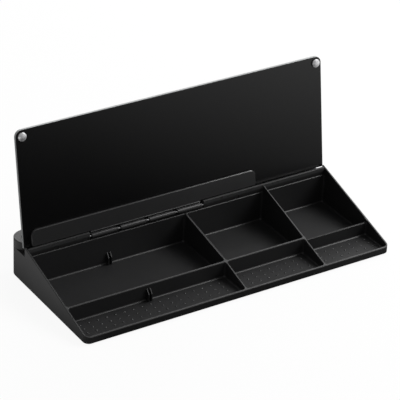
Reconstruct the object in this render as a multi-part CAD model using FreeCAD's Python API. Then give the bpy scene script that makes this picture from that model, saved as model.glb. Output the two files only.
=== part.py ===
"""Desktop glass whiteboard: a wedge tray with a hinged glass lid, built in millimetres.

The frame has +X to the right, +Y to the back and +Z up. The origin is on the desk,
under the middle of the tray. The lid is built standing open against the rear block.
"""
import FreeCAD, Part
import math
import os

from FreeCAD import Vector

# Tray
LENGTH = 440.0            # left to right
DEPTH = 193.0             # front to back
FRONT_HEIGHT = 9.3        # front wall above the tray's underside
RIM_SLOPE = 16.3          # slope of the side rims, degrees
WALL = 2.4                # outer wall thickness
FLOOR = 2.6               # floor thickness
DIVIDER = 2.2             # divider thickness near its top
DRAFT = 0.75              # draft of the compartment walls, degrees
CORNER = 8.0              # plan radius of the front corners
INNER_CORNER = 4.0        # plan radius inside the front corners
POCKET_CORNER = 3.0       # plan radius of the compartment corners
POCKET_FILLET = 2.2       # round between floor and compartment walls
UNDER_BREAK = 1.0         # bevel along the underside edge
RIM_BREAK = 0.5           # broken edges along the rims
LOW_BREAK = 0.3           # broken edges along the lower row divider
COLUMN_1 = 0.511          # first column divider, share of the length
COLUMN_2 = 0.777          # second column divider, share of the length
ROW = 0.256               # row divider, share of the depth
LOW_ROW_DROP = 4.0        # how much lower the right row divider is

# Rear block with the device slot
BLOCK_DEPTH = 35.8        # front to back, with full-round ends
BLOCK_BREAK = 0.7         # broken edge along its top
SHELF_DROP = 11.5         # from the top of the block to the channel floor
SLOT_WIDTH = 12.0
SLOT_DEPTH = 14.0
SLOT_END = 9.0            # from the end of the block to the slot

# Lid
GLASS_HEIGHT = 152.0
GLASS_THICK = 4.0
GLASS_CORNER = 9.0        # corners at the free edge
GLASS_HEEL = 1.5          # corners at the hinge edge
GLASS_EDGE = 0.4          # ground edge
GLASS_FOOT = 4.4          # from the hinge axis to the hinge edge
LID_LEAN = 8.47           # lean past upright when open, degrees
TAPE_THICK = 0.6
TAPE_INSET = 1.5          # from the edges of the plate
PLATE_THICK = 3.0
PLATE_FOOT = 5.6          # from the hinge axis to the lower edge of the plate
PLATE_HEIGHT = 21.5
PLATE_START = 9.9         # from the left end of the tray
PLATE_SPARE = 8.6         # from the end of the plate to the second column divider
PLATE_CORNER = 8.0
PLATE_HEEL = 2.0          # corners at the hinge edge
PLATE_BREAK = 0.7         # broken edge round the face of the plate
PLATE_FACE = 1.8          # from the hinge axis back to the face of the plate
APRON = 1.3               # how far the plate reaches down between the hinge ends
BEAD_R = 0.8              # bead along that lower edge
BEAD_OUT = 0.6            # how far the bead stands out from the face of the plate
WEB_BACK = 1.2            # how far the webs of the knuckles lie behind the face of the plate
LID_GAP = 0.25            # between the shut lid and the rims at the hinge
STOP_GAP = 0.35           # between the open lid and the rear block
BLOCK_ABOVE_AXIS = 5.3    # from the hinge axis up to the top of the rear block

# Hinge
HINGE_AT = 0.386          # middle of the hinge, share of the length
KNUCKLES = 4
KNUCKLE_SHARE = 0.0795    # length of one knuckle, share of the length
KNUCKLE_GAP = 6.2
KNUCKLE_END = 3.1         # between the outer knuckles and the rail
KNUCKLE_R = 2.7
KNUCKLE_CLEAR = 0.5
LUG_THICK = 1.8
LUG_R = 2.4
PIN_R = 1.25
PIN_CLEAR = 0.04
PIN_SEAT = 2.2            # depth of the pin in each end of the rail
RIDGE_R = 5.5             # ridge of the rail, round about the hinge axis
RAIL_FRONT = 1.35         # from the hinge axis forward to the face of the rail
RAIL_BACK = 4.1           # from the hinge axis back to the rear of the rail
LEDGE_DROP = 4.4          # from the hinge axis down to the top of the rear wall
LEDGE_BREAK = 0.5         # broken edge along the top of the rear wall
WALL_FRONT = 2.3          # from the hinge axis forward to the face of the rear wall
FIT = 0.2                 # assembly clearance
SNAP_AT = (0.091, 0.686, 0.890)   # snap tabs, shares of the length; one more is beside the hinge
SNAP_WIDTH = 6.6
SNAP_HEIGHT = 4.4
SNAP_THICK = 1.2
SNAP_LEAD = 0.8           # sloping end of a tab
SNAP_CLEAR = 0.6          # between a tab and its window

# Corner posts
POST_INSET = 8.5          # from the edges of the glass
CAP_R = 5.5
CAP_THICK = 2.4
WASHER_R = 4.6
WASHER_THICK = 0.8
POST_R = 2.3
POST_HOLE_R = 2.6
SCREW_R = 1.3

# Feet
FOOT_R = 6.0
FOOT_DROP = 1.0           # thickness, which holds the tray off the desk
FOOT_PAD = 2.0            # floor left round a rear foot
FOOT_INSET_X = 20.0
FOOT_INSET_FRONT = 15.0

# Guide ribs for a loose partition
GUIDE_RIB = 1.2
GUIDE_GAP = 3.0
GUIDE_DEPTH = 5.5         # how far a rib stands out from its wall
GUIDE_HEIGHT = 16.0       # at the wall
GUIDE_TIP = 0.62          # height at the tip, share of the height at the wall
GUIDE_LOW = 0.6           # height of the front pair, share of the front wall inside

# Room round the part for whatever is cut away
HEADROOM = 10.0
OVERLAP = 2.0             # where shapes are joined or cut through
LAP = 1.0                 # the same at small features

# Stiffening inside the hollow rear
RIB = 2.0
RIB_UP = 1.5              # from the underside of the tray up to the ribs
RIB_COUNT = 5

X0 = -LENGTH / 2.0
X1 = LENGTH / 2.0
Y0 = -DEPTH / 2.0
Y1 = DEPTH / 2.0
ZB = FOOT_DROP
SLOPE = math.tan(math.radians(RIM_SLOPE))
SIN_LEAN = math.sin(math.radians(LID_LEAN))
COS_LEAN = math.cos(math.radians(LID_LEAN))


def rim(y):
    """Height of the sloping rim plane at a distance back."""
    return ZB + FRONT_HEIGHT + (y - Y0) * SLOPE


# Hinge axis, set so the open lid meets the block and the shut lid meets the rims
UNDERSIDE = PLATE_FACE + PLATE_THICK + TAPE_THICK
LID_BACK = UNDERSIDE + GLASS_THICK
BLOCK_FRONT = Y1 - BLOCK_DEPTH
STOP_UP = (BLOCK_ABOVE_AXIS + LID_BACK * SIN_LEAN) / COS_LEAN
AXIS_Y = BLOCK_FRONT - STOP_GAP - STOP_UP * SIN_LEAN - LID_BACK * COS_LEAN
AXIS_Z = rim(AXIS_Y) - (UNDERSIDE - LID_GAP) / math.cos(math.radians(RIM_SLOPE))
BLOCK_TOP = AXIS_Z + BLOCK_ABOVE_AXIS
SHELF = BLOCK_TOP - SHELF_DROP
LEDGE = AXIS_Z - LEDGE_DROP
WALL_Y = AXIS_Y - WALL_FRONT
WALL_BACK = WALL_Y + WALL
SIDE_END = AXIS_Y + RAIL_BACK
FLOOR_Z = ZB + FLOOR
DIV_1 = X0 + COLUMN_1 * LENGTH
DIV_2 = X0 + COLUMN_2 * LENGTH
ROW_Y = Y0 + ROW * DEPTH
PLATE_END = DIV_2 - PLATE_SPARE
PLATE_X = X0 + PLATE_START
KNUCKLE_LENGTH = KNUCKLE_SHARE * LENGTH
HINGE_LENGTH = KNUCKLES * KNUCKLE_LENGTH + (KNUCKLES - 1) * KNUCKLE_GAP
HINGE_X = X0 + HINGE_AT * LENGTH - HINGE_LENGTH / 2.0
HINGE_END = HINGE_X + HINGE_LENGTH
SNAP_X = [X0 + share * LENGTH for share in SNAP_AT]
SNAP_X.append(HINGE_X - KNUCKLE_END - PIN_SEAT - FIT - SNAP_WIDTH / 2.0)


def rounded(x0, x1, y0, y1, radii, z):
    """Closed plan outline with a radius for each corner, starting front left, anticlockwise."""
    a, b, c, d = radii
    k = math.sqrt(0.5)
    centres = [(x0 + a, y0 + a, a), (x1 - b, y0 + b, b), (x1 - c, y1 - c, c), (x0 + d, y1 - d, d)]
    turns = [((-1, 0), (-k, -k), (0, -1)), ((0, -1), (k, -k), (1, 0)),
             ((1, 0), (k, k), (0, 1)), ((0, 1), (-k, k), (-1, 0))]
    arcs = []
    for (cx, cy, r), turn in zip(centres, turns):
        arcs.append([Vector(cx + r * ux, cy + r * uy, z) for ux, uy in turn])
    edges = []
    for i, arc in enumerate(arcs):
        edges.append(Part.Arc(*arc).toShape())
        start = arc[2]
        end = arcs[(i + 1) % 4][0]
        if start.distanceToPoint(end) > 1e-6:
            edges.append(Part.LineSegment(start, end).toShape())
    return Part.Wire(edges)


def prism(wire, height):
    """Solid raised from a plan outline."""
    return Part.Face(wire).extrude(Vector(0, 0, height))


def box(x0, x1, y0, y1, z0, z1):
    """Upright block between two corners."""
    return Part.makeBox(x1 - x0, y1 - y0, z1 - z0, Vector(x0, y0, z0))


def section(points, x0, x1):
    """Solid swept along X from a profile of (y, z) points."""
    ring = [Vector(x0, y, z) for y, z in points]
    face = Part.Face(Part.makePolygon(ring + [ring[0]]))
    return face.extrude(Vector(x1 - x0, 0, 0))


def rod(x0, x1, y, z, r):
    """Round bar along X."""
    return Part.makeCylinder(r, x1 - x0, Vector(x0, y, z), Vector(1, 0, 0))


def level_edges(shape, z):
    """Edges that lie in one level plane."""
    return [e for e in shape.Edges if abs(e.BoundBox.ZMin - z) < 1e-4 and abs(e.BoundBox.ZMax - z) < 1e-4]


def frustum(low, high):
    """Solid with flat sides between two level rectangles, each (x0, x1, y0, y1, z)."""
    rings = []
    for x0, x1, y0, y1, z in (low, high):
        rings.append([Vector(x0, y0, z), Vector(x1, y0, z), Vector(x1, y1, z), Vector(x0, y1, z)])
    loops = [rings[0][::-1], rings[1]]
    for i in range(4):
        k = (i + 1) % 4
        loops.append([rings[0][i], rings[0][k], rings[1][k], rings[1][i]])
    faces = [Part.Face(Part.makePolygon(loop + [loop[0]])) for loop in loops]
    return Part.Solid(Part.Shell(faces))


def drafted(points, left, right):
    """Solid swept along X from a (y, z) profile, its ends at left(z) and right(z) on drafted walls."""
    rings = [[Vector(end(z), y, z) for y, z in points] for end in (left, right)]
    loops = [rings[0], rings[1][::-1]]
    count = len(points)
    for i in range(count):
        k = (i + 1) % count
        loops.append([rings[0][k], rings[0][i], rings[1][i], rings[1][k]])
    faces = [Part.Face(Part.makePolygon(loop + [loop[0]])) for loop in loops]
    return Part.Solid(Part.Shell(faces))


def upright_edges(shape, x, y):
    """Corner edges of a drafted space that are nearest to a plan point."""
    return [e for e in shape.Edges if e.BoundBox.ZLength > LAP
            and abs(e.CenterOfMass.x - x) < WALL and abs(e.CenterOfMass.y - y) < WALL]


def flared(space):
    """Space cut off a little above the rims and widened there, so that it leaves a broken edge."""
    bounds = space.BoundBox
    x0 = bounds.XMin - OVERLAP
    x1 = bounds.XMax + OVERLAP
    y0 = bounds.YMin - OVERLAP
    y1 = bounds.YMax + OVERLAP

    def slab(low, high):
        points = [(y0, rim(y0) + low), (y1, rim(y1) + low), (y1, rim(y1) + high), (y0, rim(y0) + high)]
        return section(points, x0, x1)

    lift = RIM_BREAK
    tool = space.common(slab(-DEPTH, lift + RIM_BREAK)).fuse(slab(lift, lift + OVERLAP))
    loop = []
    for edge in tool.Edges:
        inside = edge.BoundBox.XMin > x0 + FIT / 2.0 and edge.BoundBox.XMax < x1 - FIT / 2.0
        across = edge.BoundBox.YMin > y0 + FIT / 2.0 and edge.BoundBox.YMax < y1 - FIT / 2.0
        if inside and across and on_rim(edge, lift):
            loop.append(edge)
    return tool.makeChamfer(RIM_BREAK + lift, loop)


def compartment(x0, x1, y0, y1, radii):
    """Drafted space to be taken out of the tray, rounded at its corners and along its floor."""
    nominal = rim((y0 + y1) / 2.0)
    rate = math.tan(math.radians(DRAFT))

    def step(z):
        return (nominal - z) * rate

    levels = []
    for z in (FLOOR_Z, rim(y1) + HEADROOM):
        levels.append((x0 + step(z), x1 - step(z), y0 + step(z), y1 - step(z), z))
    solid = frustum(*levels)
    for (x, y), r in zip(((x0, y0), (x1, y0), (x1, y1), (x0, y1)), radii):
        solid = solid.makeFillet(r, upright_edges(solid, x, y))
    solid = solid.makeFillet(POCKET_FILLET, level_edges(solid, FLOOR_Z))
    if y1 < WALL_Y:
        return flared(solid)
    # above the rear wall, whose edge is broken, the space runs on over the hinge rail
    middle = (y0 + y1) / 2.0
    low = LEDGE - LEDGE_BREAK
    face = y1 - step(low)
    sky = levels[1][4]
    end = SIDE_END + LAP
    outline = [(middle, low), (face, low), (face + LEDGE_BREAK, LEDGE),
               (end, LEDGE), (end, sky), (middle, sky)]
    over = drafted(outline, lambda z: x0 + step(z), lambda z: x1 - step(z))
    return solid.fuse(over).removeSplitter()


def on_rim(edge, lift=0.0):
    """True for an edge that lies in the sloping rim plane, or in one lifted above it."""
    for vertex in edge.Vertexes:
        if abs(vertex.Z - rim(vertex.Y) - lift) > 1e-4:
            return False
    middle = edge.valueAt((edge.FirstParameter + edge.LastParameter) / 2.0)
    return abs(middle.z - rim(middle.y) - lift) < 1e-3


def is_inner(edge):
    """True for an edge inside the outer walls."""
    bounds = edge.BoundBox
    gap = WALL / 2.0
    return bounds.XMin > X0 + gap and bounds.XMax < X1 - gap and Y0 + gap < bounds.YMin < WALL_BACK


def guide_ribs():
    """Pairs of fins that would hold a loose partition in the left column."""
    x = (X0 + WALL + DIV_1) / 2.0
    half = DIVIDER / 2.0
    full = FLOOR_Z + GUIDE_HEIGHT
    low = FLOOR_Z + GUIDE_LOW * (rim(Y0 + WALL) - FLOOR_Z)
    faces = [(WALL_Y, -1, full), (ROW_Y + half, 1, full), (ROW_Y - half, -1, full), (Y0 + WALL, 1, low)]
    root = 1.4 * LAP
    low_end = FLOOR_Z - LAP
    ribs = []
    for y, way, top in faces:
        inner = y - way * root
        tip = y + way * GUIDE_DEPTH
        front = FLOOR_Z + GUIDE_TIP * (top - FLOOR_Z)
        points = [(inner, low_end), (tip, low_end), (tip, front), (y, top), (inner, top)]
        for side in (-1, 1):
            middle = x + side * (GUIDE_GAP + GUIDE_RIB) / 2.0
            ribs.append(section(points, middle - GUIDE_RIB / 2.0, middle + GUIDE_RIB / 2.0))
    return ribs


def compartments():
    """The six spaces of the tray, rear and front by turns, from the left."""
    sharp = POCKET_CORNER
    half = DIVIDER / 2.0
    columns = [(X0 + WALL, DIV_1 - half), (DIV_1 + half, DIV_2 - half), (DIV_2 + half, X1 - WALL)]
    ribs = Part.makeCompound(guide_ribs())
    spaces = []
    for i, (x0, x1) in enumerate(columns):
        left = INNER_CORNER if i == 0 else sharp
        right = INNER_CORNER if i == 2 else sharp
        spaces.append(compartment(x0, x1, ROW_Y + half, WALL_Y, (sharp, sharp, sharp, sharp)))
        spaces.append(compartment(x0, x1, Y0 + WALL, ROW_Y - half, (left, right, sharp, sharp)))
    # the guide ribs stay standing in the left column
    return [space.cut(ribs) for space in spaces[:2]] + spaces[2:]


def rear_hollow():
    """Space under the rear block, open below, cut into bays by ribs."""
    slot_y = (BLOCK_FRONT + Y1) / 2.0
    well = SLOT_WIDTH / 2.0 + WALL
    roof = BLOCK_TOP - WALL
    well_floor = BLOCK_TOP - SLOT_DEPTH - WALL
    outline = [(WALL_BACK, ZB - OVERLAP), (WALL_BACK, SHELF - WALL), (BLOCK_FRONT + WALL, SHELF - WALL),
               (BLOCK_FRONT + WALL, roof), (slot_y - well, roof), (slot_y - well, well_floor),
               (slot_y + well, well_floor), (slot_y + well, roof), (Y1 - WALL, roof),
               (Y1 - WALL, ZB - OVERLAP)]
    hollow = section(outline, X0 + WALL, X1 - WALL)
    r = BLOCK_DEPTH / 2.0 - WALL
    small = POCKET_CORNER / 3.0
    plan = rounded(X0 + WALL, X1 - WALL, WALL_BACK, Y1 - WALL, (small, small, r, r), ZB - OVERLAP)
    hollow = hollow.common(prism(plan, BLOCK_TOP))
    # the upper part follows the full-round ends of the block
    upper = rounded(X0 + WALL, X1 - WALL, BLOCK_FRONT + WALL, Y1 - WALL, (r, r, r, r), SHELF - WALL)
    lower = box(X0, X1, Y0, Y1, ZB - OVERLAP, SHELF - WALL)
    hollow = hollow.common(lower.fuse(prism(upper, BLOCK_TOP)))
    pitch = (LENGTH - 2.0 * FOOT_INSET_X) / (RIB_COUNT - 1)
    for i in range(RIB_COUNT):
        x = X0 + FOOT_INSET_X + i * pitch
        hollow = hollow.cut(box(x - RIB / 2.0, x + RIB / 2.0, WALL_BACK, Y1, ZB + RIB_UP, BLOCK_TOP))
        if i % 2 == 0:
            pad = FOOT_R + FOOT_PAD
            hollow = hollow.cut(box(x - pad, x + pad, slot_y - pad, Y1, ZB, FLOOR_Z))
    return hollow


def foot_points():
    """Centres of the feet on the underside."""
    back = (BLOCK_FRONT + Y1) / 2.0
    points = []
    for x in (X0 + FOOT_INSET_X, 0.0, X1 - FOOT_INSET_X):
        points.append((x, Y0 + FOOT_INSET_FRONT))
        points.append((x, back))
    return points


def base_tray():
    """One moulding: floor, walls, dividers, channel and the rear block with its slot."""
    end = BLOCK_DEPTH / 2.0
    plan = rounded(X0, X1, Y0, Y1, (CORNER, CORNER, end, end), ZB)
    body = prism(plan, BLOCK_TOP)
    body = body.makeChamfer(UNDER_BREAK, level_edges(body, ZB))
    front = Y0 - HEADROOM
    back = Y1 + HEADROOM
    under = ZB - OVERLAP
    side = [(front, under), (front, rim(front)), (SIDE_END, rim(SIDE_END)), (SIDE_END, SHELF),
            (back, SHELF), (back, under)]
    body = body.common(section(side, X0 - HEADROOM, X1 + HEADROOM))
    outer = [e for e in body.Edges if on_rim(e) and e.CenterOfMass.y < SIDE_END - LAP]
    body = body.makeChamfer(RIM_BREAK, outer)
    spaces = compartments()
    body = body.cut(Part.makeCompound(spaces[0::2]))
    body = body.makeChamfer(RIM_BREAK, [e for e in body.Edges if on_rim(e) and is_inner(e)])
    body = body.cut(Part.makeCompound(spaces[1::2]))
    # the first column divider falls away under the hinge plate
    reach = DIVIDER / 2.0 + POCKET_CORNER + 2.0 * RIM_BREAK
    start = ROW_Y + reach
    foot = LEDGE + 2.0 * FIT
    sky = BLOCK_TOP + HEADROOM
    fall = [(start, rim(start)), (WALL_Y, foot), (SIDE_END + LAP, foot), (SIDE_END + LAP, sky), (start, sky)]
    body = body.cut(section(fall, DIV_1 - reach, DIV_1 + reach))
    body = body.cut(box(DIV_1 - reach, DIV_1 + reach, WALL_Y, SIDE_END + LAP, LEDGE, sky))
    body = body.cut(box(DIV_2 - reach, DIV_2 + reach, WALL_Y, SIDE_END + LAP, LEDGE, sky))
    # rear block
    outline = rounded(X0, X1, BLOCK_FRONT, Y1, (end, end, end, end), SHELF - OVERLAP)
    block = prism(outline, SHELF_DROP + OVERLAP)
    block = block.makeChamfer(BLOCK_BREAK, level_edges(block, BLOCK_TOP))
    body = body.fuse(block).removeSplitter()
    # channel for the hinge rail
    inner_0 = X0 + WALL
    inner_1 = X1 - WALL
    body = body.cut(box(inner_0, inner_1, WALL_BACK, SIDE_END + LAP, SHELF, LEDGE + FIT))
    # the right row divider is lower than the rest
    low = rim(ROW_Y) - LOW_ROW_DROP
    low_0 = DIV_2 + DIVIDER / 2.0 + LOW_BREAK
    body = body.cut(box(low_0, inner_1 - LOW_BREAK, ROW_Y - reach, ROW_Y + reach, low, BLOCK_TOP))
    crests = [e for e in level_edges(body, low) if e.Length > CORNER and e.CenterOfMass.x > DIV_2]
    body = body.makeChamfer(LOW_BREAK, crests)
    # device slot
    slot_y = (BLOCK_FRONT + Y1) / 2.0
    w = SLOT_WIDTH / 2.0
    slot = prism(rounded(X0 + SLOT_END, X1 - SLOT_END, slot_y - w, slot_y + w, (w, w, w, w),
                         BLOCK_TOP - SLOT_DEPTH), SLOT_DEPTH + OVERLAP)
    body = body.cut(slot)
    body = body.cut(rear_hollow())
    # snap tabs that hold the hinge rail
    for x in SNAP_X:
        reach = SNAP_WIDTH / 2.0 - SNAP_CLEAR
        top = LEDGE + SNAP_HEIGHT - SNAP_CLEAR
        root = LEDGE - LEDGE_BREAK
        near = WALL_BACK - SNAP_THICK
        tab = [(near, root), (WALL_BACK, root), (WALL_BACK, top - SNAP_LEAD),
               (WALL_BACK - LEDGE_BREAK, top), (near, top)]
        body = body.fuse(section(tab, x - reach, x + reach))
    return body


def ridge_profile():
    """Cross-section of the hinge rail, its top round about the hinge axis."""
    front = AXIS_Y - RAIL_FRONT
    back = AXIS_Y + RAIL_BACK
    front_z = AXIS_Z + math.sqrt(RIDGE_R ** 2 - RAIL_FRONT ** 2)
    back_z = AXIS_Z + math.sqrt(RIDGE_R ** 2 - RAIL_BACK ** 2)
    seat = WALL_BACK + FIT
    low = LEDGE + FIT
    p = [Vector(0, front, low), Vector(0, front, front_z), Vector(0, back, back_z), Vector(0, back, SHELF),
         Vector(0, seat, SHELF), Vector(0, seat, low)]
    crown = Vector(0, AXIS_Y, AXIS_Z + RIDGE_R)
    edges = [Part.LineSegment(p[0], p[1]).toShape(), Part.Arc(p[1], crown, p[2]).toShape()]
    for a, b in ((2, 3), (3, 4), (4, 5), (5, 0)):
        edges.append(Part.LineSegment(p[a], p[b]).toShape())
    return Part.Wire(edges)


def lug_starts():
    """Left faces of the lugs that stand between the knuckles."""
    starts = []
    for i in range(1, KNUCKLES):
        gap = HINGE_X + i * KNUCKLE_LENGTH + (i - 1) * KNUCKLE_GAP
        starts.append(gap + KNUCKLE_CLEAR)
    return starts


def hinge_rail():
    """Ridge snapped on the rear wall, cut away for the hinge, with lugs for the pin."""
    start = X0 + WALL + FIT
    rail = Part.Face(ridge_profile()).extrude(Vector(LENGTH - 2.0 * (WALL + FIT), 0, 0))
    rail.translate(Vector(start, 0, 0))
    cut_0 = HINGE_X - KNUCKLE_END
    cut_1 = HINGE_END + KNUCKLE_END
    floor = AXIS_Z - KNUCKLE_R - KNUCKLE_CLEAR
    rail = rail.cut(box(cut_0, cut_1, Y0, Y1, floor, BLOCK_TOP + HEADROOM))
    for x in lug_starts():
        foot = box(x, x + LUG_THICK, AXIS_Y - RAIL_FRONT, AXIS_Y + LUG_R, floor - FIT, AXIS_Z)
        rail = rail.fuse(foot.fuse(rod(x, x + LUG_THICK, AXIS_Y, AXIS_Z, LUG_R)))
    rail = rail.cut(rod(cut_0 - PIN_SEAT, cut_1 + PIN_SEAT, AXIS_Y, AXIS_Z, PIN_R + PIN_CLEAR))
    half = SNAP_WIDTH / 2.0
    for x in SNAP_X:
        deep = WALL_BACK + FIT + SNAP_CLEAR
        rail = rail.cut(box(x - half, x + half, WALL_Y, deep, LEDGE, LEDGE + SNAP_HEIGHT))
    return rail.removeSplitter()


def hinge_pin():
    """Steel rod through the lugs and knuckles."""
    reach = KNUCKLE_END + PIN_SEAT - FIT
    return rod(HINGE_X - reach, HINGE_END + reach, AXIS_Y, AXIS_Z, PIN_R)


def stand(shape):
    """Lean a lid piece, drawn upright about the hinge axis, into the open pose."""
    shape.rotate(Vector(0, 0, 0), Vector(1, 0, 0), -LID_LEAN)
    shape.translate(Vector(0, AXIS_Y, AXIS_Z))
    return shape


def upright(x0, x1, z0, z1, radii, y0, y1):
    """Plate in the lid's own frame, with a radius for each corner from bottom left."""
    plate = prism(rounded(x0, x1, z0, z1, radii, 0.0), y1 - y0)
    plate.rotate(Vector(0, 0, 0), Vector(1, 0, 0), 90)
    plate.translate(Vector(0, y1, 0))
    return plate


def post_points():
    """Centres of the corner posts in the lid's own frame."""
    z = GLASS_FOOT + GLASS_HEIGHT - POST_INSET
    return [(X0 + POST_INSET, z), (X1 - POST_INSET, z)]


def disc(x, z, y0, y1, r):
    """Round piece square to the glass."""
    return Part.makeCylinder(r, y1 - y0, Vector(x, y0, z), Vector(0, 1, 0))


def glass_panel():
    """Back-painted glass with ground edges and two post holes."""
    radii = (GLASS_HEEL, GLASS_HEEL, GLASS_CORNER, GLASS_CORNER)
    pane = upright(X0, X1, GLASS_FOOT, GLASS_FOOT + GLASS_HEIGHT, radii, UNDERSIDE, LID_BACK)
    rims = []
    for edge in pane.Edges:
        bounds = edge.BoundBox
        if bounds.YLength < 1e-4:
            rims.append(edge)
    pane = pane.makeChamfer(GLASS_EDGE, rims)
    for x, z in post_points():
        pane = pane.cut(disc(x, z, UNDERSIDE - OVERLAP, LID_BACK + OVERLAP, POST_HOLE_R))
    return stand(pane)


def lid_hinge_plate():
    """Moulded plate on the underside of the glass, with knuckles along its foot."""
    back = PLATE_FACE + PLATE_THICK
    top = PLATE_FOOT + PLATE_HEIGHT
    radii = (PLATE_HEEL, PLATE_HEEL, PLATE_CORNER, PLATE_CORNER)
    plate = upright(PLATE_X, PLATE_END, PLATE_FOOT, top, radii, PLATE_FACE, back)
    face = [e for e in plate.Edges if e.BoundBox.YLength < 1e-4 and abs(e.BoundBox.YMin - PLATE_FACE) < 1e-4]
    plate = plate.makeChamfer(PLATE_BREAK, face)
    foot = PLATE_FOOT - APRON
    apron = box(HINGE_X, HINGE_END, PLATE_FACE, back, foot, PLATE_FOOT + 1.5 * PLATE_BREAK)
    bead = rod(HINGE_X, HINGE_END, PLATE_FACE + BEAD_R - BEAD_OUT, foot + FIT, BEAD_R)
    plate = plate.fuse(apron).fuse(bead)
    inset = PLATE_FACE + WEB_BACK
    low = 0.8 * KNUCKLE_R
    high = foot + 2.0 * FIT
    web = [(0.0, 0.0), (0.7 * low, 0.7 * low), (inset, 1.1 * KNUCKLE_R), (inset, high), (back, high),
           (back, low), (low, -0.45 * KNUCKLE_R)]
    for i in range(KNUCKLES):
        x = HINGE_X + i * (KNUCKLE_LENGTH + KNUCKLE_GAP)
        barrel = rod(x, x + KNUCKLE_LENGTH, 0.0, 0.0, KNUCKLE_R)
        barrel = barrel.fuse(section(web, x, x + KNUCKLE_LENGTH))
        plate = plate.fuse(barrel)
    plate = plate.cut(rod(HINGE_X - OVERLAP, HINGE_END + OVERLAP, 0.0, 0.0, PIN_R + PIN_CLEAR))
    return stand(plate.removeSplitter())


def plate_tape():
    """Foam tape that bonds the plate to the glass."""
    back = UNDERSIDE
    low = PLATE_FOOT + TAPE_INSET
    top = PLATE_FOOT + PLATE_HEIGHT - TAPE_INSET
    heel = PLATE_HEEL / 2.0
    corner = PLATE_CORNER - TAPE_INSET
    radii = (heel, heel, corner, corner)
    tape = upright(PLATE_X + TAPE_INSET, PLATE_END - TAPE_INSET, low, top, radii, back - TAPE_THICK, back)
    return stand(tape)


def cap(x, z, y_face, way):
    """Flat cap whose seat is at y_face, standing out one way from the glass."""
    ends = sorted((y_face, y_face + way * CAP_THICK))
    return disc(x, z, ends[0], ends[1], CAP_R)


def corner_post(x, z):
    """Underside cap with the threaded sleeve that passes through the glass."""
    seat = UNDERSIDE - WASHER_THICK
    post = cap(x, z, seat, -1)
    post = post.fuse(disc(x, z, seat - CAP_THICK / 4.0, LID_BACK - FIT, POST_R))
    post = post.cut(disc(x, z, seat + 2.0 * FIT, LID_BACK + OVERLAP, SCREW_R + PIN_CLEAR))
    return stand(post.removeSplitter())


def corner_screw(x, z):
    """Cap screw from the writing side."""
    seat = LID_BACK + WASHER_THICK
    screw = cap(x, z, seat, 1)
    screw = screw.fuse(disc(x, z, UNDERSIDE + FIT, seat + CAP_THICK / 4.0, SCREW_R))
    return stand(screw.removeSplitter())


def washers(y0):
    """Pair of soft washers on one face of the glass."""
    rings = []
    for x, z in post_points():
        ring = disc(x, z, y0, y0 + WASHER_THICK, WASHER_R)
        rings.append(ring.cut(disc(x, z, y0 - OVERLAP, y0 + WASHER_THICK + OVERLAP, POST_HOLE_R)))
    return stand(Part.makeCompound(rings))


def rubber_feet():
    """Soft discs bonded to the underside."""
    feet = []
    for x, y in foot_points():
        feet.append(Part.makeCylinder(FOOT_R, FOOT_DROP, Vector(x, y, 0)))
    return Part.makeCompound(feet)


def main():
    """Write every piece to its own file."""
    left, right = post_points()
    pieces = {
        "base_tray": base_tray(),
        "hinge_rail": hinge_rail(),
        "hinge_pin": hinge_pin(),
        "rubber_feet": rubber_feet(),
        "glass_panel": glass_panel(),
        "lid_hinge_plate": lid_hinge_plate(),
        "plate_tape": plate_tape(),
        "corner_post_left": corner_post(*left),
        "corner_post_right": corner_post(*right),
        "corner_screw_left": corner_screw(*left),
        "corner_screw_right": corner_screw(*right),
        "washers_under": washers(UNDERSIDE - WASHER_THICK),
        "washers_top": washers(LID_BACK),
    }
    os.makedirs("parts", exist_ok=True)
    for name, shape in pieces.items():
        shape.exportStep("parts/" + name + ".step")
        print(name, "valid", shape.isValid(), "volume", round(shape.Volume, 1), "solids", len(shape.Solids))
    print("hinge axis", round(AXIS_Y, 3), round(AXIS_Z, 3), "underside", round(UNDERSIDE, 3))
    print("block top", round(BLOCK_TOP, 3), "shelf", round(SHELF, 3), "ledge", round(LEDGE, 3))


main()
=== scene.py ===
"""Dresses the desktop glass whiteboard: finishes, floor dots, turned caps, studio and camera.

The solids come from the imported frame. This script gives each of them a procedural finish, adds the
small moulded dots on the front floors and the domed caps at the free corners of the lid, and sets a
soft studio with a pale floor. Lengths are in metres where a docstring says nothing else.
"""

import logging
import math
from dataclasses import dataclass, field
from enum import Enum
from typing import Any, Dict, List, Optional, Tuple, Union

import bmesh
import bpy
from mathutils import Matrix, Vector


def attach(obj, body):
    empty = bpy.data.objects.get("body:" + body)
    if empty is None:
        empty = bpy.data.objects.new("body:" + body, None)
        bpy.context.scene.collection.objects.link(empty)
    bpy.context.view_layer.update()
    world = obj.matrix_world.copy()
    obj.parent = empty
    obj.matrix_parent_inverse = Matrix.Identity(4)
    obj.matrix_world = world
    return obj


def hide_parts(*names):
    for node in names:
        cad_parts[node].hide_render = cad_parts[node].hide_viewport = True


LOG = logging.getLogger("whiteboard")
MM = 0.001
NOISE_MIDDLE = 0.5

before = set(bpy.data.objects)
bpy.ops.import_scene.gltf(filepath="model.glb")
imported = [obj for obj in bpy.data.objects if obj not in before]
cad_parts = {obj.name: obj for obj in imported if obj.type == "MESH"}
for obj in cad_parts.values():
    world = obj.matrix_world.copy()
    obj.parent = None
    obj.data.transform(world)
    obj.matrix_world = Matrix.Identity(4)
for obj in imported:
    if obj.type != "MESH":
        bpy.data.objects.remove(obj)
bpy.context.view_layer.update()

Number = Union[int, float]
Operand = Union["Value", int, float]
Colour = Tuple[float, float, float]
Place = Tuple[float, float, float]
Band = Tuple[float, float]
Ring = Tuple[float, float, bool]


class Body(Enum):
    """Rigid bodies of the part."""

    BASE = "base"
    LID = "lid"


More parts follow.
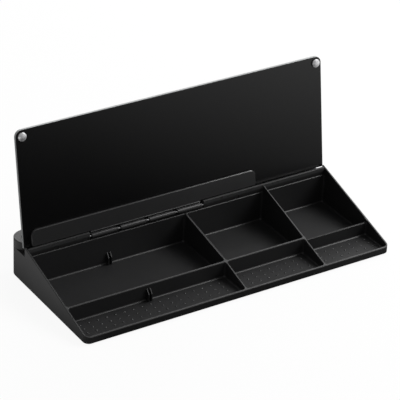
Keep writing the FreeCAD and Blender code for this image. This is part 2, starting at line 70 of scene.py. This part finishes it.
class Value:
    """A number socket in a shader, with operators that add Math nodes."""

    def __init__(self, graph: "Graph", socket: bpy.types.NodeSocket) -> None:
        """Keep the socket and the graph it belongs to."""
        self.graph = graph
        self.socket = socket

    def _math(self, operation: str, *operands: Operand) -> "Value":
        """Add one Math node over the operands."""
        return self.graph.math(operation, *operands)

    def __add__(self, other: Operand) -> "Value":
        """Sum."""
        return self._math("ADD", self, other)

    def __radd__(self, other: Number) -> "Value":
        """Reflected sum."""
        return self._math("ADD", other, self)

    def __sub__(self, other: Operand) -> "Value":
        """Difference."""
        return self._math("SUBTRACT", self, other)

    def __rsub__(self, other: Number) -> "Value":
        """Reflected difference."""
        return self._math("SUBTRACT", other, self)

    def __mul__(self, other: Operand) -> "Value":
        """Product."""
        return self._math("MULTIPLY", self, other)

    def __rmul__(self, other: Number) -> "Value":
        """Reflected product."""
        return self._math("MULTIPLY", other, self)

    def __gt__(self, other: Operand) -> "Value":
        """One where this is greater, else zero."""
        return self._math("GREATER_THAN", self, other)

    def __lt__(self, other: Operand) -> "Value":
        """One where this is less, else zero."""
        return self._math("LESS_THAN", self, other)

    def power(self, exponent: Number) -> "Value":
        """Raised to an exponent."""
        return self._math("POWER", self, exponent)

    def sine(self) -> "Value":
        """Sine, in radians."""
        return self._math("SINE", self)

    def root(self) -> "Value":
        """Square root."""
        return self._math("SQRT", self)

    def size(self) -> "Value":
        """Value without its sign."""
        return self._math("ABSOLUTE", self)

    def clamp(self) -> "Value":
        """Held between zero and one."""
        return self._math("MINIMUM", self._math("MAXIMUM", self, 0.0), 1.0)

    def ramp(self, low: Number, high: Number) -> "Value":
        """Zero at low, one at high, straight in between."""
        return ((self - low) * (1.0 / (high - low))).clamp()


class Graph:
    """Node tree of one material or world."""

    def __init__(self, tree: bpy.types.NodeTree) -> None:
        """Take a tree and empty it."""
        self.tree = tree
        tree.nodes.clear()

    def node(self, kind: str, settings: Optional[Dict[str, Any]] = None,
             sockets: Optional[Dict[Union[str, int], Any]] = None) -> bpy.types.Node:
        """Add one node.

        Args:
            kind: Blender's type name of the node.
            settings: attributes that are set first.
            sockets: values or links by input name or number.

        Returns:
            The new node.
        """
        node = self.tree.nodes.new(kind)
        for key, value in (settings or {}).items():
            setattr(node, key, value)
        for key, value in (sockets or {}).items():
            self.feed(node.inputs[key], value)
        return node

    def feed(self, socket: bpy.types.NodeSocket, value: Any) -> None:
        """Link or set one input.

        Args:
            socket: the input.
            value: a Value, another socket, a colour or a plain setting.
        """
        if isinstance(value, Value):
            value = value.socket
        if isinstance(value, bpy.types.NodeSocket):
            self.tree.links.new(value, socket)
        elif isinstance(value, tuple) and len(value) == 3 and socket.type == "RGBA":
            socket.default_value = (*value, 1.0)
        else:
            socket.default_value = value

    def math(self, operation: str, *operands: Operand) -> Value:
        """Add a Math node and return its result."""
        node = self.node("ShaderNodeMath", {"operation": operation}, dict(enumerate(operands)))
        return Value(self, node.outputs[0])

    def value(self, node: bpy.types.Node, output: Union[str, int]) -> Value:
        """Wrap one output of a node as a number."""
        return Value(self, node.outputs[output])

    def place(self) -> bpy.types.NodeSocket:
        """Position on the piece in its own frame."""
        return self.node("ShaderNodeTexCoord").outputs["Object"]

    def axes(self, vector: bpy.types.NodeSocket) -> Tuple[Value, Value, Value]:
        """Split a vector into three numbers."""
        node = self.node("ShaderNodeSeparateXYZ", None, {0: vector})
        return self.value(node, 0), self.value(node, 1), self.value(node, 2)

    def noise(self, vector: bpy.types.NodeSocket, scale: float, detail: float = 3.0,
              roughness: float = 0.55) -> Value:
        """Noise between zero and one; scale is in cycles for each metre."""
        node = self.node("ShaderNodeTexNoise", {"noise_dimensions": "3D"},
                         {"Vector": vector, "Scale": scale, "Detail": detail, "Roughness": roughness})
        return self.value(node, 0)

    def cells(self, vector: bpy.types.NodeSocket, scale: float) -> Value:
        """Distance to the nearest cell point."""
        node = self.node("ShaderNodeTexVoronoi", {"feature": "F1"}, {"Vector": vector, "Scale": scale})
        return self.value(node, "Distance")

    def stretch(self, vector: bpy.types.NodeSocket, scale: Place) -> bpy.types.NodeSocket:
        """Scale a vector along each axis."""
        node = self.node("ShaderNodeVectorMath", {"operation": "MULTIPLY"}, {0: vector, 1: scale})
        return node.outputs[0]

    def mix(self, factor: Operand, a: Any, b: Any) -> bpy.types.NodeSocket:
        """Mix two colours: a where the factor is zero, b where it is one."""
        node = self.node("ShaderNodeMix", {"data_type": "RGBA"}, {0: factor, 6: a, 7: b})
        return node.outputs[2]

    def bump(self, height: Value, strength: float, depth: float) -> bpy.types.NodeSocket:
        """Bumped normal from a height; depth is what a height of one stands for."""
        node = self.node("ShaderNodeBump", None,
                         {"Strength": strength, "Distance": depth, "Height": height})
        return node.outputs[0]

    def surface(self, sockets: Dict[str, Any]) -> None:
        """Finish a material with one Principled shader."""
        shader = self.node("ShaderNodeBsdfPrincipled", None, sockets)
        self.node("ShaderNodeOutputMaterial", None, {"Surface": shader.outputs[0]})


@dataclass(frozen=True)
class LidPlane:
    """Plane of the open lid, which leans back from the hinge axis."""

    lean: float = math.radians(8.47)
    axis_y: float = 0.050057
    axis_z: float = 0.047791

    def depth(self, y: Value, z: Value) -> Value:
        """How far a place lies through the lid, from the axis to the writing side."""
        return (y - self.axis_y) * math.cos(self.lean) - (z - self.axis_z) * math.sin(self.lean)

    def place(self, across: float, up: float, depth: float) -> Place:
        """Find a place on the lid in the part's frame.

        Args:
            across: place to the right of the middle.
            up: distance from the axis along the lid.
            depth: distance from the axis through the lid, towards the writing side.

        Returns:
            The place in the part's frame.
        """
        y = self.axis_y + up * math.sin(self.lean) + depth * math.cos(self.lean)
        z = self.axis_z + up * math.cos(self.lean) - depth * math.sin(self.lean)
        return across, y, z


LID_PLANE = LidPlane()


@dataclass(frozen=True)
class Finish:
    """A finish with a name; each kind paints its own node tree."""

    name: str

    def paint(self, graph: Graph) -> None:
        """Fill the node tree."""
        raise NotImplementedError

    def material(self) -> bpy.types.Material:
        """Make the material once and return it afterwards.

        Returns:
            The material of this finish.
        """
        found = bpy.data.materials.get(self.name)
        if found is not None:
            return found
        made = bpy.data.materials.new(self.name)
        made.use_nodes = True
        self.paint(Graph(made.node_tree))
        return made

    def dress(self, piece: bpy.types.Object) -> None:
        """Put this finish on a piece in place of what it has."""
        piece.data.materials.clear()
        piece.data.materials.append(self.material())


@dataclass(frozen=True)
class MouldedPlastic(Finish):
    """Black moulded plastic with a fine spark-eroded grain."""

    colour: Colour = (0.0115, 0.0115, 0.012)
    pale: Colour = (0.0165, 0.0165, 0.017)
    # near-black colour that paints shade in the places a subclass marks as shaded
    painted_shade: Colour = (0.002, 0.002, 0.002)
    pale_band: Band = (0.3, 0.7)
    roughness: float = 0.42
    swing: float = 0.10
    dulling: float = 0.35
    specular: float = 0.5
    drift_scale: float = 9.0
    drift_share: float = 0.6
    handled_scale: float = 45.0
    grain: float = 2600.0
    grain_share: float = 0.7
    fleck_rate: float = 0.35
    relief: float = 0.35
    depth: float = 0.00006

    def painted_light_share(self, graph: Graph, place: bpy.types.NodeSocket) -> Optional[Value]:
        """Zero where painted shade darkens the colour and dulls the gloss, one where none is painted; none
        where nothing is painted at all.
        """
        return None

    def paint(self, graph: Graph) -> None:
        """Put grain in the bump and a slow drift in colour and gloss.

        Args:
            graph: the tree to fill.
        """
        place = graph.place()
        drift = graph.noise(place, self.drift_scale, detail=4.0)
        fleck = graph.noise(place, self.grain * self.fleck_rate, detail=2.0)
        grain = graph.noise(place, self.grain, detail=2.0)
        handled = graph.noise(place, self.handled_scale, detail=5.0, roughness=0.65)
        mottle = drift * self.drift_share + fleck * (1.0 - self.drift_share)
        colour = graph.mix(mottle.ramp(*self.pale_band), self.colour, self.pale)
        wear = (handled - NOISE_MIDDLE) * self.swing + (drift - NOISE_MIDDLE) * self.swing
        rough = self.roughness + wear
        # painted shade: where the share is low the colour falls to near black and the gloss dulls
        share = self.painted_light_share(graph, place)
        if share is not None:
            colour = graph.mix(share, self.painted_shade, colour)
            rough = rough + (1.0 - share) * self.dulling
        height = grain * self.grain_share + fleck * (1.0 - self.grain_share)
        graph.surface({"Base Color": colour, "Roughness": rough, "Specular IOR Level": self.specular,
                       "Normal": graph.bump(height, self.relief, self.depth)})


@dataclass(frozen=True)
class RailPlastic(MouldedPlastic):
    """Plastic of the rail, painted lighter on its round top as a highlight and darker towards its foot as
    shade, with its gloss dulled there.
    """

    # heights between which the painted shade of the foot turns into the painted highlight of the round top
    foot: float = 0.0472
    top: float = 0.0500

    def painted_light_share(self, graph: Graph, place: bpy.types.NodeSocket) -> Optional[Value]:
        """Painted shade at the foot, rising to the painted highlight on the round top."""
        _, _, z = graph.axes(place)
        return z.ramp(self.foot, self.top)


@dataclass(frozen=True)
class PaintedGlass(Finish):
    """Glass with a gloss writing face, satin black paint underneath and ground edges."""

    under: float = 0.0054
    thick: float = 0.004
    skin: float = 0.04
    paint_colour: Colour = (0.0022, 0.0022, 0.0024)
    face_colour: Colour = (0.004, 0.004, 0.0045)
    edge_colour: Colour = (0.30, 0.31, 0.31)
    edge_pale: Colour = (0.46, 0.47, 0.47)
    satin: float = 0.24
    satin_swing: float = 0.06
    cloud_scale: float = 6.0
    gloss: float = 0.035
    smear_gain: float = 0.10
    smear_least: float = 0.4
    smear_scale: Place = (14.0, 60.0, 60.0)
    edge_rough: float = 0.5
    ground_scale: float = 1800.0
    peel_scale: float = 700.0
    relief: float = 0.12
    depth: float = 0.00004

    def paint(self, graph: Graph) -> None:
        """Tell the two faces and the edge apart by their depth through the glass.

        Args:
            graph: the tree to fill.
        """
        place = graph.place()
        _, y, z = graph.axes(place)
        share = (LID_PLANE.depth(y, z) - self.under) * (1.0 / self.thick)
        above = share > 1.0 - self.skin
        below = share < self.skin
        edge = (1.0 - above) * (1.0 - below)
        cloud = graph.noise(place, self.cloud_scale, detail=5.0, roughness=0.6)
        smear = graph.noise(graph.stretch(place, self.smear_scale), 1.0, detail=5.0, roughness=0.6)
        peel = graph.noise(place, self.peel_scale, detail=2.0)
        ground = graph.noise(place, self.ground_scale)
        faces = graph.mix(above, self.paint_colour, self.face_colour)
        colour = graph.mix(edge, faces, graph.mix(ground, self.edge_colour, self.edge_pale))
        satin = self.satin + (cloud - NOISE_MIDDLE) * self.satin_swing
        gloss = self.gloss + (smear - self.smear_least).clamp() * self.smear_gain
        rough = below * satin + above * gloss + edge * self.edge_rough
        height = below * peel + edge * ground
        graph.surface({"Base Color": colour, "Roughness": rough,
                       "Normal": graph.bump(height, self.relief, self.depth)})


@dataclass(frozen=True)
class TurnedMetal(Finish):
    """Bright turned metal with fine rings; ring_rate is in radians for each metre."""

    colour: Colour = (0.90, 0.90, 0.91)
    dull: Colour = (0.78, 0.78, 0.80)
    dull_band: Band = (0.35, 0.75)
    metallic: float = 0.68
    roughness: float = 0.24
    swing: float = 0.1
    cloud_scale: float = 320.0
    centre_x: float = 0.2115
    centre_z: float = 0.1937
    ring_rate: float = 16000.0
    relief: float = 0.5
    depth: float = 0.00004

    def paint(self, graph: Graph) -> None:
        """Put rings about the middle of each cap.

        Args:
            graph: the tree to fill.
        """
        place = graph.place()
        x, _, z = graph.axes(place)
        across = x.size() - self.centre_x
        up = z - self.centre_z
        radius = (across * across + up * up).root()
        rings = (radius * self.ring_rate).sine() * 0.5 + 0.5
        cloud = graph.noise(place, self.cloud_scale, detail=4.0)
        colour = graph.mix(cloud.ramp(*self.dull_band), self.colour, self.dull)
        graph.surface({"Base Color": colour, "Metallic": self.metallic,
                       "Roughness": self.roughness + cloud * self.swing,
                       "Normal": graph.bump(rings, self.relief, self.depth)})


@dataclass(frozen=True)
class DrawnSteel(Finish):
    """Steel rod with draw lines along its length."""

    colour: Colour = (0.30, 0.30, 0.31)
    stained: Colour = (0.20, 0.197, 0.193)
    stain_band: Band = (0.4, 0.8)
    stain_scale: float = 160.0
    line_scale: Place = (40.0, 5200.0, 5200.0)
    roughness: float = 0.50
    swing: float = 0.16
    relief: float = 0.15
    depth: float = 0.00002

    def paint(self, graph: Graph) -> None:
        """Put lines along X, and stains in the colour.

        Args:
            graph: the tree to fill.
        """
        place = graph.place()
        lines = graph.noise(graph.stretch(place, self.line_scale), 1.0)
        stain = graph.noise(place, self.stain_scale, detail=4.0)
        colour = graph.mix(stain.ramp(*self.stain_band), self.colour, self.stained)
        graph.surface({"Base Color": colour, "Metallic": 1.0,
                       "Roughness": self.roughness + lines * self.swing,
                       "Normal": graph.bump(lines, self.relief, self.depth)})


@dataclass(frozen=True)
class SoftRubber(Finish):
    """Matte rubber with dust in its pores."""

    colour: Colour = (0.020, 0.020, 0.021)
    dust: Colour = (0.055, 0.054, 0.052)
    dust_band: Band = (0.5, 0.85)
    dust_scale: float = 380.0
    pores: float = 2400.0
    roughness: float = 0.72
    swing: float = 0.2
    relief: float = 0.3
    depth: float = 0.00008

    def paint(self, graph: Graph) -> None:
        """Put pores in the bump and dust in the colour.

        Args:
            graph: the tree to fill.
        """
        place = graph.place()
        pores = graph.cells(place, self.pores)
        dust = graph.noise(place, self.dust_scale, detail=5.0, roughness=0.65)
        colour = graph.mix(dust.ramp(*self.dust_band), self.colour, self.dust)
        graph.surface({"Base Color": colour, "Roughness": self.roughness + dust * self.swing,
                       "Normal": graph.bump(pores, self.relief, self.depth)})


@dataclass(frozen=True)
class PaleFloor(Finish):
    """Floor of the studio: white to the eye with the part's shadow, a graded tone to reflections.

    A band holds the two places between which a stretch of the tone rises: right_x to the right of the
    middle, left_x and corner_x to the left of it, corner_y in front of it, and left_y from front to back.
    """

    colour: Colour = (0.90, 0.90, 0.90)
    bounce: Colour = (0.35, 0.35, 0.35)
    white: Colour = (1.0, 1.0, 1.0)
    white_share: float = 0.92
    least: float = 0.02
    right_x: Band = (0.08, 0.95)
    right_power: float = 1.25
    right_level: float = 0.98
    left_x: Band = (0.19, 0.29)
    left_y: Band = (-0.25, 0.0)
    left_level: float = 0.68
    corner_x: Band = (0.16, 0.34)
    corner_y: Band = (0.26, 0.38)
    corner_level: float = 0.9

    def glow(self, graph: Graph) -> Value:
        """Work out the tone that reflections meet.

        Args:
            graph: the tree to fill.

        Returns:
            Strength of the tone, brightest to the right, then to the left and at the front left.
        """
        x, y, _ = graph.axes(graph.place())
        right = x.ramp(*self.right_x).power(self.right_power)
        left = (0.0 - x).ramp(*self.left_x) * y.ramp(*self.left_y)
        corner = (0.0 - x).ramp(*self.corner_x) * (0.0 - y).ramp(*self.corner_y)
        sides = right * self.right_level + left * self.left_level
        return self.least + sides + corner * self.corner_level

    def paint(self, graph: Graph) -> None:
        """Mix a matte floor with the tones that the eye and reflections meet.

        Args:
            graph: the tree to fill.
        """
        path = graph.node("ShaderNodeLightPath")
        seen = graph.value(path, "Is Camera Ray")
        mirrored = (graph.value(path, "Is Glossy Ray") + graph.value(path, "Is Transmission Ray")).clamp()
        matte = graph.node("ShaderNodeBsdfDiffuse", None,
                           {"Color": graph.mix(seen, self.bounce, self.colour)})
        bright = graph.node("ShaderNodeEmission", None,
                            {"Color": self.white, "Strength": seen + (1.0 - seen) * self.glow(graph)})
        blend = graph.node("ShaderNodeMixShader", None,
                           {0: seen * self.white_share + mirrored * (1.0 - seen),
                            1: matte.outputs[0], 2: bright.outputs[0]})
        graph.node("ShaderNodeOutputMaterial", None, {"Surface": blend.outputs[0]})


TRAY = MouldedPlastic("tray_black")
# The rail's colour, lighter than the tray's, stands for the highlight on its round top: painted highlight.
RAIL = RailPlastic("rail_black", colour=(0.040, 0.040, 0.0405), pale=(0.050, 0.050, 0.0505), roughness=0.28)
PLATE = MouldedPlastic("plate_black", colour=(0.025, 0.025, 0.0255), pale=(0.034, 0.034, 0.0345),
                       roughness=0.19, swing=0.05, depth=0.00002)
# The dots' colour, lighter than the tray's, is a painted highlight that makes them read as bright specks.
DOT = MouldedPlastic("dot_black", colour=(0.030, 0.030, 0.031), pale=(0.045, 0.045, 0.046), roughness=0.20)
GLASS = PaintedGlass("painted_glass")
CAP = TurnedMetal("cap_bright")
STEEL = DrawnSteel("drawn_steel")
RUBBER = SoftRubber("black_rubber")
FOAM = SoftRubber("black_foam", colour=(0.016, 0.016, 0.016), pores=3200.0)
WASHER = SoftRubber("grey_rubber", colour=(0.05, 0.05, 0.052), dust=(0.09, 0.09, 0.09))
FLOOR = PaleFloor("floor_pale")


class Piece:
    """Shared help for dressing CAD nodes and building meshes."""

    @staticmethod
    def dress(node: str, finish: Finish, slot: str) -> bpy.types.Object:
        """Give a CAD node its finish.

        Args:
            node: name of the node.
            finish: what it is made of.
            slot: material slot in the record; not used.

        Returns:
            The node's object.
        """
        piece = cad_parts[node]
        finish.dress(piece)
        LOG.info("dressed %s with %s", node, finish.name)
        return piece

    @staticmethod
    def place(name: str, mesh: bmesh.types.BMesh) -> bpy.types.Object:
        """Turn a bmesh into an object of the scene.

        Args:
            name: name of the object.
            mesh: its geometry in the part's frame, which is used up.

        Returns:
            The new object.
        """
        data = bpy.data.meshes.new(name)
        mesh.to_mesh(data)
        mesh.free()
        piece = bpy.data.objects.new(name, data)
        bpy.context.scene.collection.objects.link(piece)
        return piece

    @staticmethod
    def build(name: str, mesh: bmesh.types.BMesh, body: Body, finish: Finish, slot: str) -> bpy.types.Object:
        """Turn a bmesh into a piece that rides on a body.

        Args:
            name: name of the piece.
            mesh: its geometry in the part's frame, which is used up.
            body: what it rides on.
            finish: what it is made of.
            slot: material slot in the record; not used.

        Returns:
            The new object.
        """
        piece = Piece.place(name, mesh)
        for face in piece.data.polygons:
            face.use_smooth = True
        finish.dress(piece)
        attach(piece, body.value)
        LOG.info("built %s with %d faces", name, len(piece.data.polygons))
        return piece


@dataclass
class Tray:
    """Moulded tray with dotted floors in the front row.

    The places of the dots and of the columns run from the left and from the front of the tray.
    """

    length: float = 0.440
    depth: float = 0.193
    floor: float = 0.0036
    pitch_x: float = 0.0122
    pitch_y: float = 0.00935
    first_x: float = 0.0132
    first_y: float = 0.0098
    rows: int = 4
    dot_r: float = 0.0014
    dot_h: float = 0.0008
    sink: float = 0.0001
    rings: int = 3
    steps: int = 10
    columns: Tuple[Band, ...] = ((0.0, 0.2237), (0.2260, 0.3408), (0.3430, 0.4400))
    margin: float = 0.008

    def dome(self, mesh: bmesh.types.BMesh, x: float, y: float) -> None:
        """Add one low dome that stands on the floor, its foot sunk into it.

        Args:
            mesh: where it goes.
            x: place across.
            y: place back.
        """
        sunk = self.floor - self.sink
        turns = [2 * math.pi * k / self.steps for k in range(self.steps)]
        loops: List[List[bmesh.types.BMVert]] = []
        for ring in range(self.rings):
            rise = math.pi / 2 * ring / self.rings
            r = self.dot_r * math.cos(rise)
            z = sunk + (self.dot_h + self.sink) * math.sin(rise)
            loops.append([mesh.verts.new((x + r * math.cos(a), y + r * math.sin(a), z)) for a in turns])
        top = mesh.verts.new((x, y, self.floor + self.dot_h))
        for low, high in zip(loops, loops[1:]):
            for k in range(self.steps):
                n = (k + 1) % self.steps
                mesh.faces.new((low[k], low[n], high[n], high[k]))
        for k in range(self.steps):
            mesh.faces.new((loops[-1][k], loops[-1][(k + 1) % self.steps], top))
        mesh.faces.new(tuple(reversed(loops[0])))

    def dots(self) -> None:
        """Build the grid of dots on the three front floors."""
        mesh = bmesh.new()
        for i in range(int(self.length / self.pitch_x)):
            x = self.first_x + i * self.pitch_x
            if not any(a + self.margin < x < b - self.margin for a, b in self.columns):
                continue
            for j in range(self.rows):
                y = self.first_y + j * self.pitch_y
                self.dome(mesh, x - self.length / 2, y - self.depth / 2)
        Piece.build("floor_dots", mesh, Body.BASE, DOT, "tray_plastic")

    def make(self) -> None:
        """Dress the tray and its feet, and add the dots."""
        Piece.dress("base_tray", TRAY, "tray_plastic")
        Piece.dress("rubber_feet", RUBBER, "foot_rubber")
        self.dots()


@dataclass
class Hinge:
    """Rail, pin and lid plate."""

    finishes: Dict[str, Tuple[Finish, str]] = field(default_factory=lambda: {
        "hinge_rail": (RAIL, "rail_plastic"),
        "hinge_pin": (STEEL, "pin_steel"),
        "lid_hinge_plate": (PLATE, "plate_plastic"),
        "plate_tape": (FOAM, "tape_foam"),
    })

    def make(self) -> None:
        """Dress each piece of the hinge."""
        for node, (finish, slot) in self.finishes.items():
            Piece.dress(node, finish, slot)


class Fitting(Enum):
    """The two halves of a corner fitting."""

    POST = "corner_post"
    SCREW = "corner_screw"


@dataclass(frozen=True)
class CornerCap:
    """Turned corner fitting: a domed cap with the sleeve or shank that passes through the glass.

    Sizes are in millimetres; seats and ends are depths through the lid, from the hinge axis to the
    writing side.
    """

    fitting: Fitting
    side: int
    cap_r: float = 5.5
    cap_thick: float = 2.4
    rim: float = 1.0
    across: float = 211.5
    height: float = 147.9
    post_seat: float = 4.6
    sleeve_r: float = 2.3
    sleeve_end: float = 9.25
    bore_r: float = 1.6
    bore_end: float = 4.9
    screw_seat: float = 10.2
    shank_r: float = 1.3
    shank_end: float = 5.6
    steps: int = 64
    dome_rings: int = 10

    def name(self) -> str:
        """Name of the node that this piece stands for."""
        return self.fitting.value + ("_left" if self.side < 0 else "_right")

    def way(self) -> int:
        """Minus one for a cap on the underside, one for a cap on the writing side."""
        return -1 if self.fitting is Fitting.POST else 1

    def seat(self) -> float:
        """Depth of the cap's seat."""
        return self.post_seat if self.fitting is Fitting.POST else self.screw_seat

    def dome(self) -> List[Ring]:
        """Follow the crown from the middle to the rim, then the rim down to the seat.

        Returns:
            Radius, depth and whether the edge is sharp, for each ring.
        """
        rise = self.cap_thick - self.rim
        ball = (self.cap_r ** 2 + rise ** 2) / (2 * rise)
        rings = []
        for k in range(1, self.dome_rings + 1):
            r = self.cap_r * k / self.dome_rings
            sag = ball - math.sqrt(ball ** 2 - r ** 2)
            rings.append((r, self.seat() + self.way() * (self.cap_thick - sag), k == self.dome_rings))
        return rings + [(self.cap_r, self.seat(), True)]

    def outline(self) -> List[Ring]:
        """Follow the whole turned outline, from the crown round to the far end.

        Returns:
            Radius, depth and whether the edge is sharp, for each ring.
        """
        if self.fitting is Fitting.POST:
            stem = ((self.sleeve_r, self.post_seat), (self.sleeve_r, self.sleeve_end),
                    (self.bore_r, self.sleeve_end), (self.bore_r, self.bore_end))
        else:
            stem = ((self.shank_r, self.screw_seat), (self.shank_r, self.shank_end))
        return self.dome() + [(r, depth, True) for r, depth in stem]

    def spot(self, r: float, depth: float, turn: float) -> Place:
        """Find one point of the turned piece.

        Args:
            r: distance from the middle of the cap.
            depth: depth through the lid.
            turn: angle about the middle, in radians.

        Returns:
            The point in the part's frame, in metres.
        """
        x = self.side * self.across + r * math.cos(turn)
        up = self.height + r * math.sin(turn)
        return LID_PLANE.place(x * MM, up * MM, depth * MM)

    def make(self) -> None:
        """Turn the outline and put it in place of the plain node."""
        mesh = bmesh.new()
        turns = [2 * math.pi * k / self.steps for k in range(self.steps)]
        outline = self.outline()
        crown = self.seat() + self.way() * self.cap_thick
        loops = [[mesh.verts.new(self.spot(r, depth, turn)) for turn in turns] for r, depth, _ in outline]
        ends = [mesh.verts.new(self.spot(0.0, depth, 0.0)) for depth in (crown, outline[-1][1])]
        for k in range(self.steps):
            n = (k + 1) % self.steps
            mesh.faces.new((ends[0], loops[0][k], loops[0][n]))
            mesh.faces.new((ends[1], loops[-1][n], loops[-1][k]))
            for a, b in zip(loops, loops[1:]):
                mesh.faces.new((a[k], b[k], b[n], a[n]))
        for loop, (_, _, sharp) in zip(loops, outline):
            for k in range(self.steps):
                mesh.edges.get((loop[k], loop[(k + 1) % self.steps])).smooth = not sharp
        bmesh.ops.recalc_face_normals(mesh, faces=mesh.faces)
        piece = Piece.build(self.name() + "_turned", mesh, Body.LID, CAP, "cap_metal")
        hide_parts(self.name())


@dataclass
class Lid:
    """Glass panel with its corner hardware."""

    soft: Tuple[str, ...] = ("washers_under", "washers_top")

    def make(self) -> None:
        """Dress the glass and the washers, and build the caps."""
        Piece.dress("glass_panel", GLASS, "black_glass")
        for fitting in Fitting:
            for side in (-1, 1):
                CornerCap(fitting, side).make()
        for node in self.soft:
            Piece.dress(node, WASHER, "washer_soft")


@dataclass(frozen=True)
class Lamp:
    """One soft box that looks at a point; its power is in watts."""

    name: str
    place: Place
    aim: Place
    width: float
    height: float
    power: float

    def make(self) -> None:
        """Add the lamp."""
        data = bpy.data.lights.new(self.name, "AREA")
        data.shape = "RECTANGLE"
        data.size = self.width
        data.size_y = self.height
        data.energy = self.power
        lamp = bpy.data.objects.new(self.name, data)
        bpy.context.scene.collection.objects.link(lamp)
        lamp.location = self.place
        away = Vector(self.place) - Vector(self.aim)
        lamp.rotation_mode = "QUATERNION"
        lamp.rotation_quaternion = away.to_track_quat("Z", "Y")
        LOG.info("lamp %s at %s", self.name, self.place)


@dataclass
class Studio:
    """Pale floor, white surround and soft lamps."""

    floor_size: float = 8.0
    white: Colour = (1.0, 1.0, 1.0)
    dome_least: float = 0.22
    dome_swing: float = 0.38
    dome_way: Tuple[float, float] = (0.70, 0.70)
    dome_band: Band = (-0.8, 0.9)
    lamps: Tuple[Lamp, ...] = (
        Lamp("back", (0.38, 1.20, 0.85), (0.0, 0.0, 0.03), 0.7, 0.7, 3.6),
        Lamp("over_right", (1.10, 0.20, 1.45), (0.1, 0.0, 0.0), 0.8, 1.0, 8.0),
        Lamp("right", (1.30, -0.42, 1.25), (0.10, 0.0, 0.0), 0.85, 0.85, 20.0),
    )

    def floor(self) -> None:
        """Make the floor that the part stands on."""
        mesh = bmesh.new()
        half = self.floor_size / 2
        corners = ((-half, -half), (half, -half), (half, half), (-half, half))
        mesh.faces.new([mesh.verts.new((x, y, 0.0)) for x, y in corners])
        piece = Piece.place("floor", mesh)
        FLOOR.dress(piece)

    def surround(self) -> None:
        """Make the world: white to the eye, a soft dome for the light, brightest at the back right."""
        world = bpy.data.worlds.new("studio")
        bpy.context.scene.world = world
        world.use_nodes = True
        graph = Graph(world.node_tree)
        x, y, _ = graph.axes(graph.node("ShaderNodeTexCoord").outputs["Generated"])
        seen = graph.value(graph.node("ShaderNodeLightPath"), "Is Camera Ray")
        side = (x * self.dome_way[0] + y * self.dome_way[1]).ramp(*self.dome_band)
        level = self.dome_least + side * self.dome_swing
        back = graph.node("ShaderNodeBackground", None,
                          {"Color": self.white, "Strength": seen + (1.0 - seen) * level})
        graph.node("ShaderNodeOutputWorld", None, {"Surface": back.outputs[0]})

    def make(self) -> None:
        """Set up floor, surround, lamps and colour handling."""
        self.floor()
        self.surround()
        for lamp in self.lamps:
            lamp.make()
        bpy.context.scene.view_settings.view_transform = "Standard"


@dataclass(frozen=True)
class Camera:
    """Camera at the viewing angle of the picture; the sensor is in millimetres."""

    place: Place = (-1.283400, -1.928332, 1.415630)
    right: Place = (0.84548114, -0.53250203, 0.04004047)
    up: Place = (0.23579757, 0.43955871, 0.86671082)
    back: Place = (-0.47912541, -0.72334621, 0.49720128)
    focal_pixels: float = 2176.4
    image_pixels: float = 400.0
    sensor: float = 36.0
    near: float = 0.05
    far: float = 50.0

    def make(self) -> None:
        """Add the camera and make it the scene's own."""
        data = bpy.data.cameras.new("camera")
        data.sensor_fit = "HORIZONTAL"
        data.sensor_width = self.sensor
        data.lens = self.focal_pixels / self.image_pixels * self.sensor
        data.clip_start = self.near
        data.clip_end = self.far
        camera = bpy.data.objects.new("camera", data)
        bpy.context.scene.collection.objects.link(camera)
        turn = Matrix((self.right, self.up, self.back)).transposed()
        camera.matrix_world = Matrix.Translation(self.place) @ turn.to_4x4()
        bpy.context.scene.camera = camera


def main() -> None:
    """Build every sub-assembly in order."""
    logging.basicConfig(level=logging.INFO, format="%(name)s: %(message)s")
    Camera().make()
    Studio().make()
    for part in (Tray(), Hinge(), Lid()):
        part.make()


if __name__ == "__main__":
    main()
